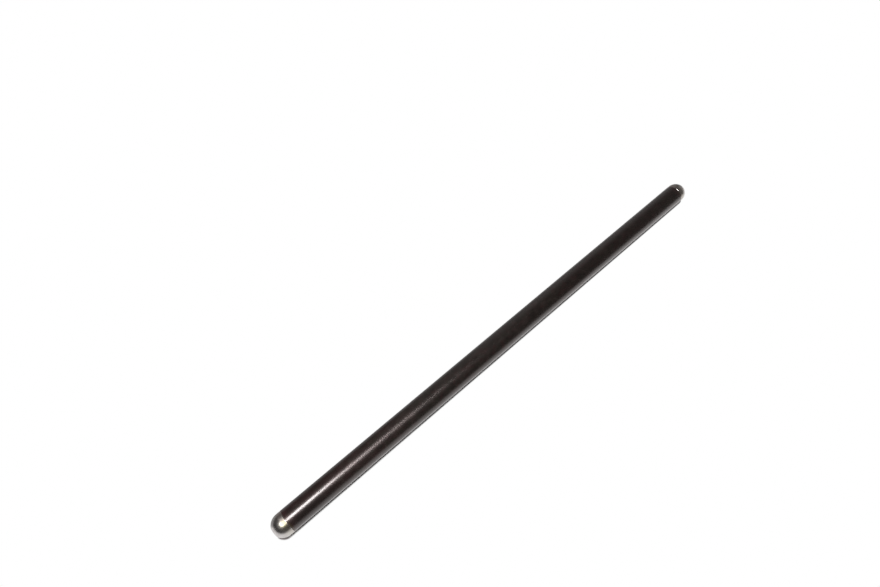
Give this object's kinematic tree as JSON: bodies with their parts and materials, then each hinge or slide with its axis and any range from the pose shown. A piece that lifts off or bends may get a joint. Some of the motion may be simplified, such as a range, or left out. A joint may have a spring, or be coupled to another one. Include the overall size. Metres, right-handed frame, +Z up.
{
  "type": "engine pushrod",
  "caption": "Straight engine pushrod: dark steel tube with a bright drilled ball end welded into each end, carrying valve motion and oil from lifter to rocker arm.",
  "frame": {"origin": "centre of the ball at the lifter end, on the rod's axis", "axes": "+X along the rod, from the lifter end to the rocker end; +Z up, with the rod lying on its side"},
  "size_m": [0.2083, 0.008, 0.008],
  "materials": {
    "dark_tube": "dark brown-black oxide over drawn steel, satin with a soft gloss, heat tint beside the welds",
    "ball_steel": "ground and hardened bright steel, faint turning rings, straw heat tint beside the weld"
  },
  "bodies": {
    "root": {"tube": "dark_tube", "lifter_ball_end": "ball_steel", "rocker_ball_end": "ball_steel"}
  },
  "joints": []
}
